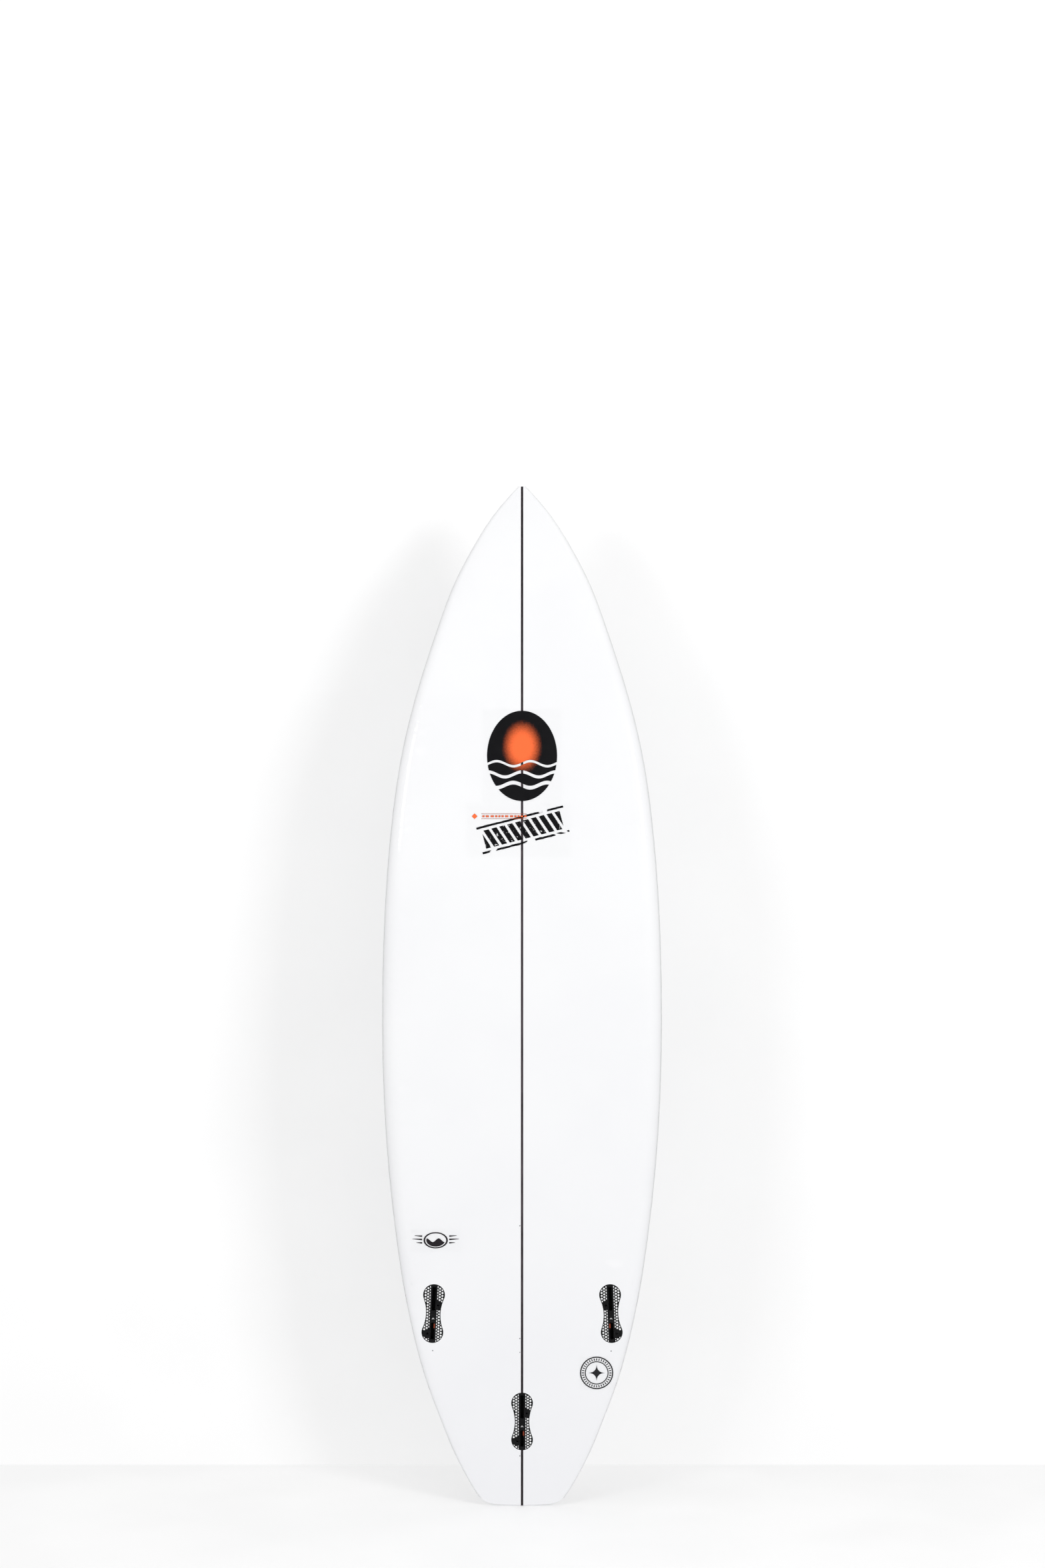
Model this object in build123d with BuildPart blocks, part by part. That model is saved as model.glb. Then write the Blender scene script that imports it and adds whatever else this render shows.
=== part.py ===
"""Shortboard surfboard, 6 ft 0 in x 19 1/2 in x 2 1/2 in, standing on its squash tail.

Millimetres. +Z runs from the tail to the nose, +X to the right as seen from the bottom
(wet) side, and the bottom faces -Y. The origin is on the ground under the middle of the
board's box. The board is a foam blank in two halves glued to a wooden stringer, wrapped
in two glass laminates, with three two-slot fin plugs, a leash plug and laminated prints.
A plug's local axes are x across the board, y towards the nose and z out of the bottom.
"""

import os
from math import sqrt

from build123d import *

os.makedirs("parts", exist_ok=True)

# ---------------------------------------------------------------- driving dimensions
length = 1828.8
nose_rocker = 127.0
tail_rocker = 61.0
low_point = 850.0  # height of the flattest place of the rocker
nose_power = 2.5
tail_power = 2.1

# height above the tail, half width, thickness: one row for each loft section
stations = [
    (0.0, 63.0, 12.5),
    (50.0, 97.0, 18.5),
    (150.0, 142.0, 29.0),
    (305.0, 191.5, 42.0),
    (450.0, 218.5, 52.0),
    (600.0, 236.0, 58.5),
    (750.0, 245.5, 62.5),
    (900.0, 247.65, 63.5),
    (1050.0, 244.0, 62.5),
    (1200.0, 233.5, 59.0),
    (1350.0, 212.5, 52.5),
    (1475.0, 181.0, 43.5),
    (1570.0, 150.5, 35.0),
    (1650.0, 121.0, 27.5),
    (1710.0, 91.0, 21.0),
    (1760.0, 61.5, 16.0),
    (1795.0, 35.5, 12.5),
    (1815.0, 18.0, 10.5),
    (length, 6.5, 9.5),
]
tip_thickness = stations[-1][2]
widest = max(half for z, half, thickness in stations)

# a section's curves, as shares of its half width and of its thickness
concave_depth = 0.010
concave_flat = 0.35
concave_side = 0.60
soft_tuck, hard_tuck = 0.88, 0.96  # where the bottom turns up into the rail
soft_apex, hard_apex = 0.36, 0.20  # height of the rail's widest line
soft_corner, hard_corner = 0.55, 0.85  # fullness of the turn from bottom to rail
rail_rise = 0.27
shoulder_place = (0.68, 0.85)
shoulder_lean = (0.26, 0.115)
crown_flat = 0.22
hard_edge_end = 520.0  # the rail's hard edge fades out at this height

laminate = 0.9  # glass and resin, each side
print_sheet = 0.15  # rice paper under the bottom glass
stringer_width = 3.2
glue_line = 0.35

overshoot = 4.0  # how far a cut runs past the surface that it opens
beyond = 400.0  # larger than the board is wide or deep

# the squash tail's end: an arc, then a corner with these control points, x and height
tail_end_half = 52.0
tail_end_rise = 3.0
tail_corner = [(64.0, 4.6), (70.0, 9.0), (100.0, 36.0)]

# fin plugs
centre_plug_height = 155.0
side_plug_height = 351.0
side_plug_offset = 157.4
toe_in = 2.6
cant = 4.0
plug_sink = 0.3  # the flat flange lies under the curved foam's surface
lobe_radius = 19.3
lobe_spacing = 33.8  # lobe centre from the plug's middle
waist_half = 12.8
rim_width = 1.3
strip_half = 6.0
flange_depth = 3.2
slot_width = 6.2
slot_corner = 1.2
front_slot = (5.7, 48.0)
rear_slot = (-46.5, -16.2)
slot_depth = 13.5
housing_half = 7.2
housing_wall = 2.4
housing_floor = 2.0
housing_corner = 3.0
potting_gap = 0.8
cell_pitch = 5.14
cell_radius = 1.9
cell_rows = 11  # each way from the middle
cell_column = 10.4  # x of the middle column of three
cell_offset = 4.4
cell_extra = 0.4  # the cells go this much deeper than the flange
least_cell = 1.6  # square millimetres: smaller clipped cells are left solid
ear_radius = 8.5
front_ear = (8.1, 15.0)
rear_ear = (-8.1, -36.4)
screw_radius = 1.65  # tap drill of an M4 grub screw
screw_tilt = 25.0  # the grub screw leans into the slot, to press on a fin's tab
screw_reach = 11.8  # from the flange's face to the middle of the slot's wall
boss_radius = 3.6
boss_reach = 9.8
boss_top = 2.4  # below the flange's face, along the screw, so that no edge sticks out

# roller in the wall of the rear slot
roller_radius = 2.0
roller_length = 8.0
roller_place = (3.3, -22.5, -3.1)
bar_radius = 0.8
bar_length = 15.0
running_gap = 0.05
roller_gap = 0.25
notch_reach = 4.0

# leash plug in the deck
leash_height = 95.0
leash_offset = 24.0
leash_outer = 14.0
leash_flange = 15.5
leash_flange_depth = 1.6
leash_depth = 15.0
leash_hollow = 10.0
leash_hollow_depth = 12.0
leash_bar_radius = 2.0
leash_bar_depth = 4.0
leash_bar_half = 12.5
leash_hollow_round = 4.0
leash_sink = 0.5
leash_potting = 0.8

# sheets of print under the glass: lowest and highest x, lowest and highest height
sheets = {
    "print_graphic": (-70.0, 70.0, 1257.0, 1422.0),
    "print_stamp": (-98.0, 86.0, 1161.0, 1255.0),
    "print_name": (-196.0, -108.0, 462.0, 503.0),
}
sheet_corner = 6.0
sheet_start = 10.0  # the cut for a sheet starts this deep in the foam
badge_middle = (132.4, 244.0)
badge_radius = 31.0


# ---------------------------------------------------------------- shape functions
def rocker(z):
    """Rise of the bottom's middle line towards the deck."""
    if z > low_point:
        return nose_rocker * ((z - low_point) / (length - low_point)) ** nose_power
    return tail_rocker * ((low_point - z) / low_point) ** tail_power


half_depth = (nose_rocker + tip_thickness - concave_depth * widest) / 2


def bottom_y(z):
    """The bottom's middle line, with the board's box centred on y = 0."""
    return rocker(z) - half_depth


def edged(z, soft, hard):
    """A share that goes from hard at the tail to soft where the hard edge ends."""
    return soft + (hard - soft) * max(0.0, 1.0 - z / hard_edge_end)


def half_section(z, half, thickness, base, side):
    """Cubic curves of one half of a section, from the bottom's middle to the deck's."""
    dip = base - concave_depth * half
    tuck = half * edged(z, soft_tuck, hard_tuck)
    rail = dip + edged(z, soft_apex, hard_apex) * thickness
    reach = edged(z, soft_corner, hard_corner)
    deck = base + thickness
    shoulder_x = shoulder_place[0] * half
    shoulder_y = base + shoulder_place[1] * thickness
    lean_x = shoulder_lean[0] * half
    lean_y = shoulder_lean[1] * thickness

    def at(x, y):
        return (side * x, y)

    Bezier(
        at(0, base),
        at(concave_flat * half, base),
        at(concave_side * half, dip),
        at(tuck, dip),
    )
    Bezier(
        at(tuck, dip),
        at(tuck + reach * (half - tuck), dip),
        at(half, rail - reach * (rail - dip)),
        at(half, rail),
    )
    Bezier(
        at(half, rail),
        at(half, rail + rail_rise * thickness),
        at(shoulder_x + lean_x / 2, shoulder_y - lean_y / 2),
        at(shoulder_x, shoulder_y),
    )
    Bezier(
        at(shoulder_x, shoulder_y),
        at(shoulder_x - lean_x, shoulder_y + lean_y),
        at(crown_flat * half, deck),
        at(0, deck),
    )


def hull(inset):
    """The board's outer shape, moved inwards by inset all round."""
    with BuildPart() as body:
        for z, half, thickness in stations:
            level = z - 2 * inset if z == length else z
            base = bottom_y(level) + inset
            with BuildSketch(Plane.XY.offset(level)):
                with BuildLine():
                    for side in (1, -1):
                        half_section(z, half - inset, thickness - 2 * inset, base, side)
                make_face()
        loft()
        with BuildSketch(Plane.XZ):
            with BuildLine():
                end = ThreePointArc(
                    (-tail_end_half, tail_end_rise + inset),
                    (0, inset),
                    (tail_end_half, tail_end_rise + inset),
                )
                right = Bezier(end @ 1, *[(x, z + inset) for x, z in tail_corner])
                left = Bezier(end @ 0, *[(-x, z + inset) for x, z in tail_corner])
                side_start = tail_corner[-1][1] + inset
                Polyline(
                    right @ 1,
                    (beyond, side_start),
                    (beyond, length + beyond),
                    (-beyond, length + beyond),
                    (-beyond, side_start),
                    left @ 1,
                )
            make_face()
        extrude(amount=beyond, both=True, mode=Mode.INTERSECT)
    return body.part


# ---------------------------------------------------------------- hulls
outer_hull = hull(0)
print_hull = hull(laminate - print_sheet)
foam_hull = hull(laminate)


def finish(part, name):
    """Labels a piece, writes it and reports it."""
    part.label = name
    export_step(part, f"parts/{name}.step")
    print(name, part.is_valid, len(part.solids()), round(part.volume, 2))


# ---------------------------------------------------------------- places on the board
def foam_plane(x, height, side, sink):
    """Just under the foam's surface: z out of the board, y lengthwise. side is -1 or 1."""
    hits = foam_hull.find_intersection_points(Axis((x, 0, height), (0, side, 0)))
    point, normal = max(hits, key=lambda hit: side * hit[0].Y)
    if normal.Y * side < 0:
        normal = normal * -1
    across = Vector(1, 0, 0) - normal * normal.X
    return Plane(origin=point - normal * sink, x_dir=across, z_dir=normal)


def turned(plane, rotation):
    """The plane turned about its own axes, in degrees."""
    return Plane(plane.location * Location((0, 0, 0), rotation))


# ---------------------------------------------------------------- fin plugs
# the waist's arc touches both lobes, waist_half from the middle line
squares = lobe_spacing**2 + waist_half**2 - lobe_radius**2
waist_radius = squares / (2 * (lobe_radius - waist_half))
waist_centre = waist_half + waist_radius
touch = lobe_radius / (waist_radius + lobe_radius)


def peanut():
    """The flange's outline: two round lobes and a waist."""
    with BuildSketch(Plane.XY) as outline:
        with Locations((0, lobe_spacing), (0, -lobe_spacing)):
            Circle(lobe_radius)
        Rectangle(2 * waist_centre * touch, 2 * lobe_spacing * (1 - touch))
        with Locations((waist_centre, 0), (-waist_centre, 0)):
            Circle(waist_radius, mode=Mode.SUBTRACT)
    return outline.sketch


def cells(hand):
    """The honeycomb's openings, clipped by the rim, the middle strip and the two ears."""
    with BuildSketch(Plane.XY) as field:
        for side in (1, -1):
            for column in (-1, 0, 1):
                x = side * (cell_column + column * cell_pitch * sqrt(3) / 2)
                shift = cell_offset - (cell_pitch / 2 if column else 0)
                for row in range(-cell_rows, cell_rows + 1):
                    with Locations((x, shift + row * cell_pitch)):
                        RegularPolygon(cell_radius, 6)
        add(offset(peanut(), -rim_width, mode=Mode.PRIVATE), mode=Mode.INTERSECT)
        Rectangle(2 * strip_half, beyond, mode=Mode.SUBTRACT)
        for x, y in (front_ear, rear_ear):
            with Locations((hand * x, y)):
                Circle(ear_radius, mode=Mode.SUBTRACT)
    return [face for face in field.sketch.faces() if face.area > least_cell]


def screw_mouths(cavity, hand):
    """Planes at the two grub screws' mouths, leaning so that the screws press on a fin's tab."""
    for x, y in (front_ear, rear_ear):
        tilt = screw_tilt if hand * x > 0 else -screw_tilt
        yield Plane(cavity.location * Location((hand * x, y, 0), (0, tilt, 0)))


def slots_and_bores(cavity, hand):
    """What is open in a plug and in the glass over it: slots, roller notch, screw bores."""
    with BuildPart() as opening:
        with BuildSketch(cavity.offset(-slot_depth)):
            for low, high in (front_slot, rear_slot):
                with Locations((0, (low + high) / 2)):
                    RectangleRounded(slot_width, high - low, slot_corner)
        extrude(amount=slot_depth + overshoot)
        x, y, z = roller_place
        with BuildSketch(cavity.offset(z)):
            with Locations((hand * notch_reach / 2, y)):
                Rectangle(notch_reach, roller_length + 2 * roller_gap)
        extrude(amount=overshoot - z)
        for mouth in screw_mouths(cavity, hand):
            with BuildSketch(mouth.offset(-screw_reach)):
                Circle(screw_radius)
            extrude(amount=screw_reach + overshoot)
    return opening.part


def body_shape(plane, cavity, hand, gap, top):
    """The plug's flange, two cups and two screw bosses, grown by gap, up to a height of top."""
    with BuildPart() as shape:
        with BuildSketch(plane.offset(-flange_depth - gap)):
            add(peanut())
        extrude(amount=flange_depth + gap + top)
        floor = slot_depth + housing_floor + gap
        width = 2 * (housing_half + gap)
        with BuildSketch(cavity.offset(-floor)):
            for low, high in (front_slot, rear_slot):
                span = high - low + 2 * (housing_wall + gap)
                with Locations((0, (low + high) / 2)):
                    RectangleRounded(width, span, housing_corner)
        extrude(amount=floor - flange_depth / 2)
        for mouth in screw_mouths(cavity, hand):
            with BuildSketch(mouth.offset(-boss_reach)):
                Circle(boss_radius + gap)
            extrude(amount=boss_reach - boss_top)
    return shape.part


def along_slot(cavity, hand, radius, span, bore=0):
    """A round bar or tube on the roller's axis."""
    x, y, z = roller_place
    start = Plane(cavity.location * Location((hand * x, y + span / 2, z), (90, 0, 0)))
    with BuildPart() as bar:
        with BuildSketch(start):
            Circle(radius)
            if bore:
                Circle(bore, mode=Mode.SUBTRACT)
        extrude(amount=span)
    return bar.part


# name, x, height, toe-in turn, outward lean, hand
plug_places = [
    ("left", -side_plug_offset, side_plug_height, -toe_in, -cant, 1),
    ("right", side_plug_offset, side_plug_height, toe_in, cant, -1),
    ("centre", 0, centre_plug_height, 0, 0, 1),
]
roller_x, roller_y, roller_z = roller_place
roller_cave = roller_radius + roller_gap
plug_openings = []
pockets = []
for place, x, height, turn, lean, hand in plug_places:
    plane = turned(foam_plane(x, height, -1, plug_sink), (0, 0, turn))
    cavity = turned(plane, (0, lean, 0))
    print(place, plane)
    opening = slots_and_bores(cavity, hand)
    plug_openings.append(opening)
    pockets.append(body_shape(plane, cavity, hand, potting_gap, overshoot))

    with BuildPart() as honeycomb:
        with BuildSketch(plane.offset(-flange_depth - cell_extra)):
            add(cells(hand))
        extrude(amount=flange_depth + overshoot)

    with BuildPart() as moulding:
        add(body_shape(plane, cavity, hand, 0, 0))
        add(honeycomb.part, mode=Mode.SUBTRACT)

    with BuildPart() as potting:
        add(body_shape(plane, cavity, hand, potting_gap, 0))
        add(moulding.part, mode=Mode.SUBTRACT)
        add(opening, mode=Mode.SUBTRACT)
    finish(potting.part, f"plug_resin_{place}")

    with BuildPart() as plug:
        add(moulding.part)
        add(opening, mode=Mode.SUBTRACT)
        with BuildSketch(cavity.offset(roller_z - roller_cave)):
            with Locations((hand * (roller_x + roller_cave) / 2, roller_y)):
                Rectangle(roller_x + roller_cave, roller_length + 2 * roller_gap)
        extrude(amount=2 * roller_cave, mode=Mode.SUBTRACT)
        add(along_slot(cavity, hand, bar_radius, bar_length), mode=Mode.SUBTRACT)
    finish(plug.part, f"fin_plug_{place}")

    finish(along_slot(cavity, hand, bar_radius, bar_length), f"roller_bar_{place}")
    finish(
        along_slot(cavity, hand, roller_radius, roller_length, bar_radius + running_gap),
        f"roller_{place}",
    )

# ---------------------------------------------------------------- leash plug
leash_plane = foam_plane(leash_offset, leash_height, 1, leash_sink)
print("leash", leash_plane)
bar_end = Location((-leash_bar_half, 0, -leash_bar_depth), (0, 90, 0))
bar_start = Plane(leash_plane.location * bar_end)


def leash_shape(gap, top):
    """The cup's round body and flange, grown by gap, up to a height of top."""
    with BuildPart() as shape:
        with BuildSketch(leash_plane.offset(-leash_depth - gap)):
            Circle(leash_outer + gap)
        extrude(amount=leash_depth + gap)
        with BuildSketch(leash_plane.offset(-leash_flange_depth)):
            Circle(leash_flange)
        extrude(amount=leash_flange_depth + top)
    return shape.part


with BuildPart() as leash_bar:
    with BuildSketch(bar_start):
        Circle(leash_bar_radius)
    extrude(amount=2 * leash_bar_half)
finish(leash_bar.part, "leash_bar")

with BuildPart() as leash_mouth:
    with BuildSketch(leash_plane.offset(-leash_hollow_depth)):
        Circle(leash_hollow)
    extrude(amount=leash_hollow_depth + overshoot)
    along = Axis(leash_plane.origin, leash_plane.z_dir)
    fillet(leash_mouth.edges().sort_by(along)[0], leash_hollow_round)

with BuildPart() as leash_cup:
    add(leash_shape(0, 0))
    add(leash_mouth.part, mode=Mode.SUBTRACT)
    add(leash_bar.part, mode=Mode.SUBTRACT)
finish(leash_cup.part, "leash_cup")

with BuildPart() as leash_resin:
    add(leash_shape(leash_potting, 0))
    add(leash_shape(0, 0), mode=Mode.SUBTRACT)
finish(leash_resin.part, "leash_resin")

# ---------------------------------------------------------------- foam, stringer, glue
leash_pocket = leash_shape(leash_potting, overshoot)


def lengthwise_slice(low, high):
    """The part of the foam shape between two planes of constant x, less the pockets."""
    with BuildPart() as piece:
        add(foam_hull)
        with Locations(((low + high) / 2, 0, length / 2)):
            Box(high - low, beyond, 2 * length, mode=Mode.INTERSECT)
        for pocket in pockets:
            add(pocket, mode=Mode.SUBTRACT)
        add(leash_pocket, mode=Mode.SUBTRACT)
    return piece.part


stringer_half = stringer_width / 2
glue_half = stringer_half + glue_line
finish(lengthwise_slice(-stringer_half, stringer_half), "stringer")
finish(lengthwise_slice(-glue_half, -stringer_half), "glue_line_left")
finish(lengthwise_slice(stringer_half, glue_half), "glue_line_right")
finish(lengthwise_slice(-beyond, -glue_half), "blank_left")
finish(lengthwise_slice(glue_half, beyond), "blank_right")

# ---------------------------------------------------------------- prints
def print_piece(outline, start):
    """The print's sheet on the foam's bottom, cut by the outline from the depth of start."""
    with BuildPart() as sheet:
        with BuildSketch(Plane.XZ.offset(-start)):
            add(outline)
        extrude(amount=beyond)
        add(print_hull, mode=Mode.INTERSECT)
        add(foam_hull, mode=Mode.SUBTRACT)
    return sheet.part


prints = []
for name, (left, right, low, high) in sheets.items():
    with BuildSketch() as outline:
        with Locations(((left + right) / 2, (low + high) / 2)):
            RectangleRounded(right - left, high - low, sheet_corner)
    prints.append(print_piece(outline.sketch, bottom_y(high) + sheet_start))
    finish(prints[-1], name)

with BuildSketch() as badge_outline:
    with Locations(badge_middle):
        Circle(badge_radius)
prints.append(print_piece(badge_outline.sketch, bottom_y(badge_middle[1]) + sheet_start))
finish(prints[-1], "print_badge")

# ---------------------------------------------------------------- glass
rail_line = []
for z, half, thickness in stations:
    above = edged(z, soft_apex, hard_apex) * thickness
    rail_line.append((bottom_y(z) - concave_depth * half + above, z))
with BuildPart() as under_rail:
    with BuildSketch(Plane.YZ):
        with BuildLine():
            line = Spline(rail_line)
            Polyline(
                line @ 0,
                (rail_line[0][0], -overshoot),
                (-beyond, -overshoot),
                (-beyond, length + overshoot),
                (rail_line[-1][0], length + overshoot),
                line @ 1,
            )
        make_face()
    extrude(amount=beyond, both=True)

with BuildPart() as bottom_laminate:
    add(outer_hull)
    add(foam_hull, mode=Mode.SUBTRACT)
    add(under_rail.part, mode=Mode.INTERSECT)
    for sheet in prints:
        add(sheet, mode=Mode.SUBTRACT)
    for opening in plug_openings:
        add(opening, mode=Mode.SUBTRACT)
finish(bottom_laminate.part, "bottom_laminate")

with BuildPart() as deck_laminate:
    add(outer_hull)
    add(foam_hull, mode=Mode.SUBTRACT)
    add(under_rail.part, mode=Mode.SUBTRACT)
    add(leash_mouth.part, mode=Mode.SUBTRACT)
finish(deck_laminate.part, "deck_laminate")
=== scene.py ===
"""Looks of the shortboard: clear glass over white foam, a dark stringer, black two-slot
fin plugs bedded in white resin, and laminated prints. Metres, in the frame of the CAD model."""

import math

import bpy
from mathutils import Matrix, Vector
from mathutils.bvhtree import BVHTree


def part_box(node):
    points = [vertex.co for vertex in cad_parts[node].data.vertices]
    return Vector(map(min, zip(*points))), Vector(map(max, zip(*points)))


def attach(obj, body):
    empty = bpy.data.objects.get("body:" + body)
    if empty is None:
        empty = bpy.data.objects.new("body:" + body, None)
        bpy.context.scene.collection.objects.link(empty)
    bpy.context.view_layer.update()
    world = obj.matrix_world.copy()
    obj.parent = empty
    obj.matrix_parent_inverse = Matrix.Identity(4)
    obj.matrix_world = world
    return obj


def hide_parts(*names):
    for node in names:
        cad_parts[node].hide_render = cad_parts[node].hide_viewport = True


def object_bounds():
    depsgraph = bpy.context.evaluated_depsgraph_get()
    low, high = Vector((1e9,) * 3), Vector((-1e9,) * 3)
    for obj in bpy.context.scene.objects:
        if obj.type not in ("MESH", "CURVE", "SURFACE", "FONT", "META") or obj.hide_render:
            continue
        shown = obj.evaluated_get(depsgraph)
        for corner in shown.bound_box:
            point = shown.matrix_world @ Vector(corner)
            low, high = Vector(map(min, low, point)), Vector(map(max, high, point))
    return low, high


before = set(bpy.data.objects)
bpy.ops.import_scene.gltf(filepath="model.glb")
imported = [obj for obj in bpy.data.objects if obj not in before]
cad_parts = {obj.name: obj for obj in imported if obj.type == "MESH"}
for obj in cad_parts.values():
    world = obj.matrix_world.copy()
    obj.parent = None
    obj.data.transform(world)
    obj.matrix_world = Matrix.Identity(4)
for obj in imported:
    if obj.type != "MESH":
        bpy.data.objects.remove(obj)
cad_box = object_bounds()

MM = 0.001

# the camera: how far it is from the board's bottom, and the lens's height and focal length
CAMERA_DISTANCE = 5.0
CAMERA_HEIGHT = 1.289
CAMERA_SIDE = 0.0008
FOCAL_MM = 65.1

# the studio: a floor and a wall of this half size, which go clear away from the board's middle
STUDIO_HALF = 4.0
WALL_BEHIND = 0.30
STUDIO_TONES = {"floor": (0.96, 0.99), "wall": (0.93, 0.95)}
MIDDLE_MM = 900
FADE_MM = (2300, 3400)

# light: the sky's strength, what gloss mirrors of it, what the camera sees, and the two lamps
SKY, SKY_IN_GLOSS, SKY_SEEN = 0.91, 0.16, 1.0
LAMP_SIDE, LAMP_FRONT, LAMP_HEIGHT, LAMP_SIZE = 2.5, 3.5, 2.35, 1.1
LAMP_AIM = (0, 0, 0.95)
KEY_WATTS, FILL_WATTS = 39, 23

# inks
BLACK = (0.004, 0.004, 0.005)
WORN_BLACK = (0.006, 0.006, 0.007)
BROWN_BLACK = (0.02, 0.017, 0.02)
PLAIN_BLACK = (0.02, 0.02, 0.022)
ORANGE = (1.0, 0.17, 0.05)

# all in millimetres: marking dots on the foam, as x, height and radius, and the chevrons
# moulded between the plugs' slots, as x and height
MARKS = [
    (-158.5, 284.5, 1.1),
    (158.0, 283.5, 1.1),
    (-3.9, 508.0, 1.1),
    (-3.9, 306.0, 1.1),
    (-3.9, 281.0, 0.9),
    (-3.9, 92.0, 1.1),
]
PLUG_MARKS = [(0.0, 147.0), (-157.7, 343.0), (157.7, 343.0)]
GLUE_SOAK_MM = (1.8, 2.8)  # from the board's middle, where the glue's stain ends in the foam
WEAVE_MM = 1.4

# printed sheets, and how far the laminates' inner faces are lifted off the foam, in metres
PAPER_STEP = 0.002
PAPER_DEPTH = 0.00035  # under the glass's face
PAPER_THICKNESS = 0.0001
GLASS_LIFT = 0.0002


# ---------------------------------------------------------------- shader arithmetic
class Value:
    """A shader socket that takes part in plain arithmetic."""

    def __init__(self, graph, socket):
        self.graph = graph
        self.socket = socket

    def __add__(self, other):
        return self.graph.math("ADD", self, other)

    def __sub__(self, other):
        return self.graph.math("SUBTRACT", self, other)

    def __rsub__(self, other):
        return self.graph.math("SUBTRACT", other, self)

    def __mul__(self, other):
        return self.graph.math("MULTIPLY", self, other)

    def __truediv__(self, other):
        return self.graph.math("DIVIDE", self, other)


class Graph:
    """One material's node tree, with short calls for what the materials below need."""

    def __init__(self, name):
        self.material = bpy.data.materials.new(name)
        self.material.use_nodes = True
        self.tree = self.material.node_tree
        self.tree.nodes.clear()
        self.output = self.tree.nodes.new("ShaderNodeOutputMaterial")
        coordinates = self.tree.nodes.new("ShaderNodeTexCoord")
        self.place = coordinates.outputs["Object"]
        parts = self.tree.nodes.new("ShaderNodeSeparateXYZ")
        self.link(self.place, parts.inputs[0])
        self.x, self.y, self.z = (Value(self, out) * (1 / MM) for out in parts.outputs)

    def link(self, source, target):
        self.tree.links.new(source, target)

    def feed(self, value, target):
        """Links a Value or a socket, or sets a plain number or colour."""
        if isinstance(value, Value):
            self.link(value.socket, target)
        elif isinstance(value, bpy.types.NodeSocket):
            self.link(value, target)
        else:
            target.default_value = value

    def math(self, operation, *terms):
        node = self.tree.nodes.new("ShaderNodeMath")
        node.operation = operation
        for term, target in zip(terms, node.inputs):
            self.feed(term, target)
        return Value(self, node.outputs[0])

    def size(self, value):
        return self.math("ABSOLUTE", value)

    def most(self, *values):
        result = values[0]
        for value in values[1:]:
            result = self.math("MAXIMUM", result, value)
        return result

    def length(self, *values):
        total = values[0] * values[0]
        for value in values[1:]:
            total = total + value * value
        return self.math("SQRT", total)

    def blend_range(self, value, low, high, at_low, at_high, smooth=True):
        node = self.tree.nodes.new("ShaderNodeMapRange")
        node.interpolation_type = "SMOOTHSTEP" if smooth else "LINEAR"
        self.feed(value, node.inputs["Value"])
        for name, number in (
            ("From Min", low),
            ("From Max", high),
            ("To Min", at_low),
            ("To Max", at_high),
        ):
            self.feed(number, node.inputs[name])
        return Value(self, node.outputs[0])

    def share(self, noise, low=0.3, high=0.7):
        """Spreads the middle of a noise over 0 to 1."""
        return self.blend_range(noise, low, high, 0, 1)

    def inside(self, distance, edge=0.25):
        """1 where distance is below zero, with an edge that many millimetres soft."""
        return self.blend_range(distance, -edge, edge, 1.0, 0.0)

    def noise(self, scale, detail=3, stretch=(1, 1, 1), roughness=0.5, offset=(0, 0, 0)):
        mapping = self.tree.nodes.new("ShaderNodeMapping")
        self.link(self.place, mapping.inputs["Vector"])
        mapping.inputs["Scale"].default_value = stretch
        mapping.inputs["Location"].default_value = offset
        node = self.tree.nodes.new("ShaderNodeTexNoise")
        self.link(mapping.outputs[0], node.inputs["Vector"])
        node.inputs["Scale"].default_value = scale
        node.inputs["Detail"].default_value = detail
        node.inputs["Roughness"].default_value = roughness
        return Value(self, node.outputs["Fac"])

    def mix(self, share, first, second):
        """Mixes two colours, each a tuple or the result of another mix."""
        node = self.tree.nodes.new("ShaderNodeMix")
        node.data_type = "RGBA"
        self.feed(share, node.inputs[0])
        self.feed(first if hasattr(first, "type") else (*first, 1), node.inputs[6])
        self.feed(second if hasattr(second, "type") else (*second, 1), node.inputs[7])
        return node.outputs[2]

    def bump(self, height, depth_mm, strength=1.0):
        node = self.tree.nodes.new("ShaderNodeBump")
        node.inputs["Strength"].default_value = strength
        node.inputs["Distance"].default_value = depth_mm * MM
        self.feed(height, node.inputs["Height"])
        return node.outputs[0]

    def principled(self, colour, roughness, normal=None, metallic=0.0, ior=1.5):
        node = self.tree.nodes.new("ShaderNodeBsdfPrincipled")
        self.feed(colour if hasattr(colour, "type") else (*colour, 1), node.inputs["Base Color"])
        self.feed(roughness, node.inputs["Roughness"])
        node.inputs["Metallic"].default_value = metallic
        node.inputs["IOR"].default_value = ior
        if normal is not None:
            self.link(normal, node.inputs["Normal"])
        return node.outputs[0]

    def mix_shader(self, share, first, second):
        node = self.tree.nodes.new("ShaderNodeMixShader")
        self.feed(share, node.inputs[0])
        self.link(first, node.inputs[1])
        self.link(second, node.inputs[2])
        return node.outputs[0]

    def clear(self, colour=(1, 1, 1)):
        node = self.tree.nodes.new("ShaderNodeBsdfTransparent")
        node.inputs[0].default_value = (*colour, 1)
        return node.outputs[0]

    def finish(self, shader):
        self.link(shader, self.output.inputs["Surface"])
        return self.material


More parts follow.
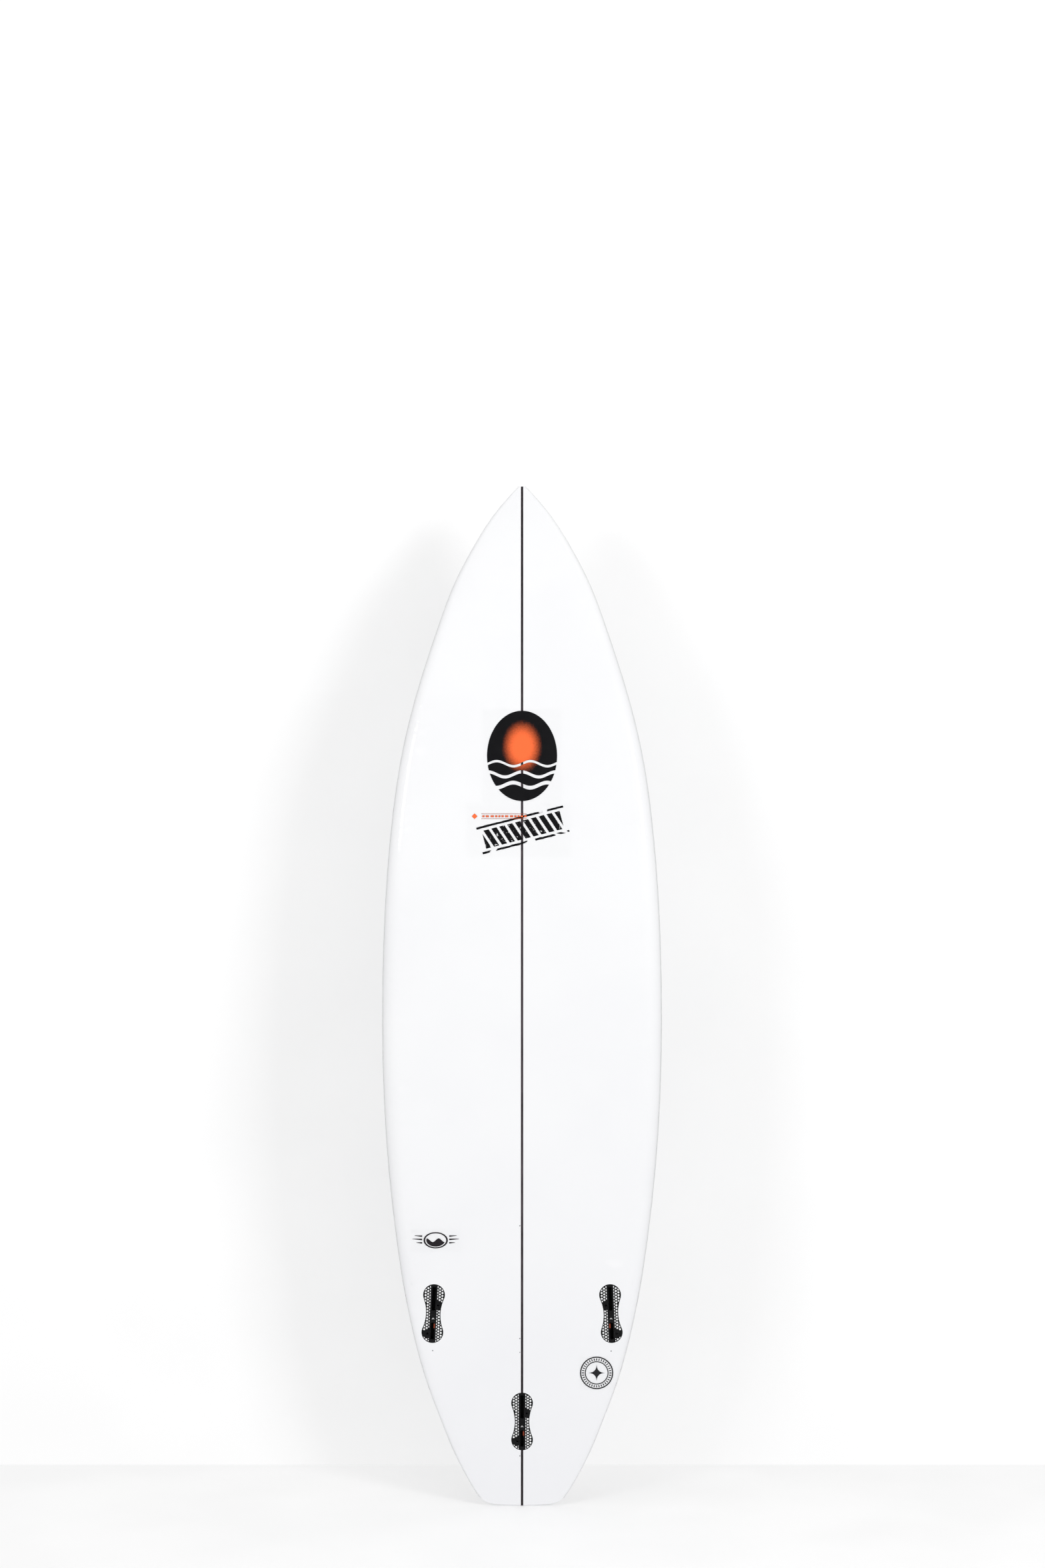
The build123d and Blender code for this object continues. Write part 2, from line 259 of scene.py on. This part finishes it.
# ---------------------------------------------------------------- materials
def foam():
    """White foam seen through the glass: faint mottling, machining lines and marking dots, with
    painted shade that turns it greyer and cooler towards the tail.
    """
    g = Graph("foam")
    cloud = g.share(g.noise(5), 0.35, 0.65)
    grain = g.noise(900, 2)
    colour = g.mix(cloud, (0.912, 0.912, 0.922), (0.928, 0.928, 0.934))
    # painted shade: greyer, cooler foam towards the tail stands in for the dimmer light that
    # falls there
    painted_tail_shade = g.blend_range(g.z, 0, MIDDLE_MM, 0.4, 0)
    colour = g.mix(painted_tail_shade, colour, (0.885, 0.885, 0.918))
    soaked = g.blend_range(g.size(g.x), *GLUE_SOAK_MM, 0.6, 0)
    colour = g.mix(soaked, colour, (0.16, 0.12, 0.15))
    dots = None
    for x, z, radius in MARKS:
        dot = g.inside(g.length(g.x - x, g.z - z) - radius, 0.35)
        dots = dot if dots is None else g.most(dots, dot)
    front = g.inside(g.y - 5, 1)
    colour = g.mix(dots * front * 0.82, colour, (0.07, 0.06, 0.07))
    return g.finish(g.principled(colour, 0.55, g.bump(grain, 0.04, 0.5)))


def stringer():
    """Dark stained plywood: fine lengthwise grain, paler in the middle of the board."""
    g = Graph("stringer_wood")
    fibres = g.noise(700, 4, stretch=(1, 1, 0.02))
    grain = g.share(fibres)
    dark = g.mix(grain, (0.010, 0.008, 0.009), (0.032, 0.025, 0.029))
    pale = g.mix(grain, (0.030, 0.024, 0.028), (0.085, 0.068, 0.077))
    middle = g.blend_range(g.size(g.z - MIDDLE_MM), 250, 800, 1, 0)
    bands = g.blend_range(g.noise(6, 2), 0.25, 0.6, 0.5, 1)
    colour = g.mix(middle * bands, dark, pale)
    return g.finish(g.principled(colour, 0.45, g.bump(fibres, 0.05, 0.4), ior=1.0))


def glue():
    """Dark glue that soaked into the foam beside the stringer."""
    g = Graph("glue")
    soak = g.share(g.noise(260, stretch=(1, 1, 0.25)), 0.35)
    colour = g.mix(soak, (0.018, 0.014, 0.018), (0.08, 0.06, 0.074))
    return g.finish(g.principled(colour, 0.5))


def nylon():
    """Black glass-filled nylon: fine mould texture, uneven black, chevrons between the slots."""
    g = Graph("plug_nylon")
    fine = g.noise(2200)
    flow = g.share(g.noise(90), 0.35, 0.65)
    colour = g.mix(flow, (0.004, 0.004, 0.005), (0.007, 0.007, 0.008))
    for x, z in PLUG_MARKS:
        beside = g.size(g.x - x)
        chevron = g.inside(g.size(beside * 1.1 + (g.z - z)) - 0.8, 0.2)
        chevron = chevron * g.inside(beside - 1.9, 0.15) * g.inside(g.y + 2, 1)
        colour = g.mix(chevron * 0.85, colour, (0.75, 0.75, 0.75))
    rough = g.blend_range(fine, 0.3, 0.7, 0.36, 0.50)
    return g.finish(g.principled(colour, rough, g.bump(fine, 0.02, 0.5), ior=1.2))


def resin():
    """Milky bedding resin in the honeycomb and round the plugs."""
    g = Graph("bedding_resin")
    cloud = g.share(g.noise(160), 0.35)
    colour = g.mix(cloud, (0.80, 0.80, 0.81), (0.90, 0.90, 0.905))
    return g.finish(g.principled(colour, 0.3))


def metal(name, colour, roughness):
    """Drawn bar: lines along the bar."""
    g = Graph(name)
    lines = g.noise(1500, 2, stretch=(1, 1, 0.05))
    rough = g.blend_range(lines, 0.3, 0.7, roughness - 0.08, roughness + 0.12)
    tone = g.mix(g.share(lines), colour, tuple(c * 0.82 for c in colour))
    return g.finish(g.principled(tone, rough, g.bump(lines, 0.01, 0.4), metallic=1.0))


def roller():
    """Orange polymer with faint turning marks, its orange darkened as painted shade of the slot
    it sits in.
    """
    g = Graph("roller_polymer")
    rings = g.noise(1800, 2, stretch=(0.05, 0.05, 1))
    # painted shade: both oranges are darker than the polymer's own, standing in for the shade
    # inside the slot
    colour = g.mix(g.share(rings), (0.28, 0.035, 0.012), (0.36, 0.06, 0.022))
    return g.finish(g.principled(colour, 0.38, g.bump(rings, 0.015, 0.5)))


def glass_skin():
    """Clear gloss resin over woven cloth: light goes through, the polished face mirrors."""
    g = Graph("glass_skin")
    turns = 2 * math.pi / WEAVE_MM
    weave = g.math("SINE", g.x * turns) * g.math("SINE", g.z * turns)
    sanding = g.noise(14)
    height = weave * 0.15 + sanding * 2.0
    normal = g.bump(height, 0.03, 0.35)
    fresnel = g.tree.nodes.new("ShaderNodeFresnel")
    fresnel.inputs["IOR"].default_value = 1.5
    g.link(normal, fresnel.inputs["Normal"])
    gloss = g.tree.nodes.new("ShaderNodeBsdfAnisotropic")
    gloss.inputs["Color"].default_value = (1, 1, 1, 1)
    g.feed(g.blend_range(g.noise(40, 2), 0.3, 0.7, 0.03, 0.07), gloss.inputs["Roughness"])
    g.link(normal, gloss.inputs["Normal"])
    outside = g.mix_shader(fresnel.outputs[0], g.clear((0.992, 0.994, 0.996)), gloss.outputs[0])
    geometry = g.tree.nodes.new("ShaderNodeNewGeometry")
    return g.finish(g.mix_shader(geometry.outputs["Backfacing"], outside, g.clear()))


def printed(name, draw):
    """Rice paper goes clear in resin, so only the ink of draw(graph) shows: (ink, colour)."""
    g = Graph(name)
    ink, colour = draw(g)
    shader = g.principled(colour, 0.5, ior=1.0)
    return g.finish(g.mix_shader(ink, g.clear(), shader))


def medallion(g):
    """A tall black oval with a glowing middle, crossed by three waves that leave it open."""
    x, z = g.x, g.z - 1339.0
    oval = g.inside((g.length(x / 62.0, z / 80.0) - 1.0) * 62.0, 0.25)
    open_bands = None
    for height, thick, phase in ((-14.0, 2.3, 0.0), (-33.0, 2.9, 1.6), (-52.0, 3.5, 3.2)):
        wave = g.math("SINE", x * 0.105 + phase) * 4.5 + height
        band = g.inside(g.size(z - wave) - thick, 0.25)
        open_bands = band if open_bands is None else g.most(open_bands, band)
    ink = oval * (1 - open_bands)
    spray = g.noise(420, 2) * 0.22
    glow_distance = g.length(x / 30.0, (z - 16.0) / 40.0) + spray
    glow = g.blend_range(glow_distance, 0.55, 1.35, 1.0, 0.0)
    black = g.mix(g.share(g.noise(60)), BLACK, WORN_BLACK)
    return ink, g.mix(glow, black, ORANGE)


def stamp(g):
    """A worn hatch between two worn rules, leaning up to the right, and an orange dashed line."""
    angle = math.radians(14.5)
    x, z = g.x - 1.5, g.z - 1208.0
    along = x * math.cos(angle) + z * math.sin(angle)
    up = z * math.cos(angle) - x * math.sin(angle)
    worn = g.share(g.noise(190, 4, roughness=0.7), 0.36, 0.44)
    wobble = (g.noise(120) - 0.5) * 2.2
    rules = g.inside(g.size(g.size(up + wobble) - 22.5) - 1.7, 0.3)
    gaps = g.share(g.noise(36, 1, offset=(3, 0, 0)), 0.38, 0.42)
    rules = rules * g.inside(g.size(along) - 79.0, 0.3) * gaps
    slanted = along + up * 0.35
    bar = g.size(g.math("WRAP", slanted, 7.2, -7.2)) - 4.6
    hatch = g.inside(bar, 0.3) * g.inside(g.size(up + wobble * 0.4) - 16.0, 0.3)
    hatch = hatch * g.inside(g.size(along) - 71.0, 0.3) * worn
    black_ink = g.most(rules, hatch)
    lx, lz = g.x + 40.0, g.z - 1232.0
    dash = g.size(g.math("WRAP", lx + g.math("SINE", lx * 0.19) * 1.5, 3.4, -3.4)) - 2.3
    dashes = g.inside(dash, 0.3) * g.inside(g.size(lz) - 1.6, 0.3)
    dashes = dashes * g.inside(g.size(lx - 8.0) - 40.0, 0.3)
    diamond = g.inside(g.size(lx + 44.0) + g.size(lz) - 5.0, 0.3)
    edge_rules = g.inside(g.size(g.size(lz) - 4.2) - 0.35)
    edge_rules = edge_rules * g.inside(g.size(lx - 8.0) - 40.0, 0.3)
    orange_ink = g.most(g.most(dashes * 0.85, diamond), edge_rules * 0.6)
    ink = g.most(black_ink, orange_ink)
    return ink, g.mix(orange_ink, BLACK, ORANGE)


def emblem(g):
    """An oval with a wave in it and three tapering lines on each side."""
    x, z = g.x + 152.7, g.z - 482.5
    round_distance = (g.length(x / 20.0, z / 13.5) - 1.0) * 13.5
    ring = g.inside(g.size(round_distance) - 0.9, 0.2)
    wave = g.math("SINE", x * 0.30) * 3.2
    sea = g.inside(z - wave, 0.25) * g.inside(round_distance + 2.4, 0.25)
    wings = None
    for height, reach in ((6.0, 37.0), (0.0, 41.0), (-6.0, 34.0)):
        taper = g.blend_range(g.size(x), 22.0, reach, 1.5, 0.2, smooth=False)
        line = g.inside(g.size(z - height - g.size(x) * 0.06) - taper, 0.2)
        line = line * g.inside(g.size(g.size(x) - (reach + 24.0) / 2) - (reach - 24.0) / 2, 0.2)
        wings = line if wings is None else g.most(wings, line)
    ink = g.most(g.most(ring, sea), wings)
    return ink, BROWN_BLACK


def badge(g):
    """Two rings with ticks between them and a four-pointed star in the middle."""
    x, z = g.x - 132.4, g.z - 244.0
    radius = g.length(x, z)
    turn = g.math("ARCTAN2", z, x)
    rings = g.most(
        g.inside(g.size(radius - 28.4) - 0.95, 0.2), g.inside(g.size(radius - 20.2) - 0.75, 0.2)
    )
    count = 36
    step = 2 * math.pi / count
    tick = g.size(g.math("WRAP", turn, step / 2, -step / 2)) * radius - 0.75
    ticks = g.inside(tick, 0.2) * g.inside(g.size(radius - 24.3) - 1.9, 0.2)
    star = g.math("SQRT", g.size(x)) + g.math("SQRT", g.size(z)) - math.sqrt(15.5)
    star = g.inside(star, 0.12)
    ink = g.most(g.most(rings, ticks), star)
    return ink, PLAIN_BLACK


# ---------------------------------------------------------------- dress the CAD nodes
def dress(material, *names):
    """Gives CAD nodes a material."""
    for name in names:
        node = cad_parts[name]
        node.data.materials.clear()
        node.data.materials.append(material)
        for polygon in node.data.polygons:
            polygon.material_index = 0


dress(foam(), "blank_left", "blank_right")
dress(stringer(), "stringer")
dress(glue(), "glue_line_left", "glue_line_right")
dress(nylon(), "fin_plug_left", "fin_plug_right", "fin_plug_centre", "leash_cup")
dress(resin(), "plug_resin_left", "plug_resin_right", "plug_resin_centre", "leash_resin")
titanium = metal("titanium", (0.42, 0.40, 0.38), 0.35)
dress(titanium, "roller_bar_left", "roller_bar_right", "roller_bar_centre")
dress(metal("steel", (0.62, 0.62, 0.64), 0.22), "leash_bar")
dress(roller(), "roller_left", "roller_right", "roller_centre")


def tree_of(*names):
    """A search tree over the faces of CAD nodes."""
    vertices, faces = [], []
    for name in names:
        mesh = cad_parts[name].data
        first = len(vertices)
        vertices.extend(vertex.co for vertex in mesh.vertices)
        faces.extend([first + v for v in polygon.vertices] for polygon in mesh.polygons)
    return BVHTree.FromPolygons(vertices, faces)


def place_for(piece, name):
    """Puts a piece in the scene in place of a CAD node of the board."""
    bpy.context.scene.collection.objects.link(piece)
    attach(piece, "board")
    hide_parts(name)


def glass(name, material, core):
    """A laminate whose inner face lies a little off the foam, so that no two faces coincide."""
    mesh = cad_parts[name].data.copy()
    mesh.name = name + "_glass"
    lifts = {}
    for polygon in mesh.polygons:
        outwards = core.find_nearest(polygon.center)[1]
        if polygon.normal.dot(outwards) < -0.7:
            for vertex in polygon.vertices:
                lifts[vertex] = -polygon.normal
    for vertex, outwards in lifts.items():
        mesh.vertices[vertex].co += outwards * GLASS_LIFT
    mesh.materials.clear()
    mesh.materials.append(material)
    place_for(bpy.data.objects.new(mesh.name, mesh), name)


def paper(name, draw, skin):
    """A sheet that follows the bottom, halfway through the glass, in place of its CAD node."""
    low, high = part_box(name)
    across = max(2, round((high.x - low.x) / PAPER_STEP))
    upward = max(2, round((high.z - low.z) / PAPER_STEP))
    vertices = []
    for j in range(upward + 1):
        for i in range(across + 1):
            x = low.x + (high.x - low.x) * i / across
            z = low.z + (high.z - low.z) * j / upward
            hit = skin.ray_cast(Vector((x, low.y - 0.1, z)), Vector((0, 1, 0)))[0]
            vertices.append((x, hit.y + PAPER_DEPTH, z))
    row = across + 1
    faces = [
        (j * row + i, j * row + i + 1, (j + 1) * row + i + 1, (j + 1) * row + i)
        for j in range(upward)
        for i in range(across)
    ]
    mesh = bpy.data.meshes.new(name + "_sheet")
    mesh.from_pydata(vertices, [], faces)
    mesh.shade_smooth()
    mesh.materials.append(printed(name, draw))
    sheet = bpy.data.objects.new(name + "_sheet", mesh)
    body = sheet.modifiers.new("thickness", "SOLIDIFY")
    body.thickness = PAPER_THICKNESS
    body.offset = -1
    place_for(sheet, name)


core = tree_of("blank_left", "blank_right", "stringer", "glue_line_left", "glue_line_right")
clear_glass = glass_skin()
glass("bottom_laminate", clear_glass, core)
glass("deck_laminate", clear_glass, core)
skin = tree_of("bottom_laminate")
paper("print_graphic", medallion, skin)
paper("print_stamp", stamp, skin)
paper("print_name", emblem, skin)
paper("print_badge", badge, skin)


# ---------------------------------------------------------------- stage, light, camera
def studio():
    """A pale floor and, just behind the board, a wall that can only be seen from its front."""
    left, right = -STUDIO_HALF, STUDIO_HALF
    corners = {
        "floor": [(left, left, 0), (right, left, 0), (right, right, 0), (left, right, 0)],
        "wall": [
            (left, WALL_BEHIND, 0),
            (right, WALL_BEHIND, 0),
            (right, WALL_BEHIND, right),
            (left, WALL_BEHIND, right),
        ],
    }
    for name, outline in corners.items():
        g = Graph(name)
        dull, pale = ((tone, tone, tone) for tone in STUDIO_TONES[name])
        front = g.principled(g.mix(g.share(g.noise(3, 2)), dull, pale), 0.8)
        away = g.length(g.x, g.y, g.z - MIDDLE_MM)
        front = g.mix_shader(g.blend_range(away, *FADE_MM, 1, 0), g.clear(), front)
        geometry = g.tree.nodes.new("ShaderNodeNewGeometry")
        shader = g.mix_shader(geometry.outputs["Backfacing"], front, g.clear())
        mesh = bpy.data.meshes.new(name)
        mesh.from_pydata(outline, [], [(0, 1, 2, 3)])
        mesh.materials.append(g.finish(shader))
        sheet = bpy.data.objects.new(name, mesh)
        bpy.context.scene.collection.objects.link(sheet)
        sheet.visible_diffuse = False
        sheet.visible_glossy = False
        sheet.visible_shadow = False


def daylight(strength, mirrored, seen):
    """Even white light; the gloss mirrors the room's darker side, the camera sees plain white."""
    world = bpy.data.worlds.new("soft_daylight")
    world.use_nodes = True
    tree = world.node_tree
    path = tree.nodes.new("ShaderNodeLightPath")
    level = strength
    for ray, wanted in (("Is Glossy Ray", mirrored), ("Is Camera Ray", seen)):
        switch = tree.nodes.new("ShaderNodeMapRange")
        tree.links.new(path.outputs[ray], switch.inputs["Value"])
        switch.inputs["To Max"].default_value = wanted
        if level is strength:
            switch.inputs["To Min"].default_value = level
        else:
            tree.links.new(level, switch.inputs["To Min"])
        level = switch.outputs[0]
    background = tree.nodes["Background"]
    background.inputs["Color"].default_value = (1, 1, 1, 1)
    tree.links.new(level, background.inputs["Strength"])
    bpy.context.scene.world = world


def lamp(name, side, watts):
    """A square soft light in front of the board, aimed at its middle."""
    light = bpy.data.lights.new(name, "AREA")
    light.shape = "SQUARE"
    light.size = LAMP_SIZE
    light.energy = watts
    holder = bpy.data.objects.new(name, light)
    holder.location = (side, -LAMP_FRONT, LAMP_HEIGHT)
    direction = Vector(LAMP_AIM) - holder.location
    holder.rotation_euler = direction.to_track_quat("-Z", "Y").to_euler()
    bpy.context.scene.collection.objects.link(holder)


studio()
daylight(SKY, SKY_IN_GLOSS, SKY_SEEN)
lamp("key", LAMP_SIDE, KEY_WATTS)
lamp("fill", -LAMP_SIDE, FILL_WATTS)
bpy.context.scene.view_settings.view_transform = "Standard"

camera_data = bpy.data.cameras.new("camera")
camera_data.lens = FOCAL_MM
camera_data.clip_end = 100
camera = bpy.data.objects.new("camera", camera_data)
camera.location = (CAMERA_SIDE, cad_box[0][1] - CAMERA_DISTANCE, CAMERA_HEIGHT)
camera.rotation_euler = (math.pi / 2, 0, 0)
bpy.context.scene.collection.objects.link(camera)
bpy.context.scene.camera = camera
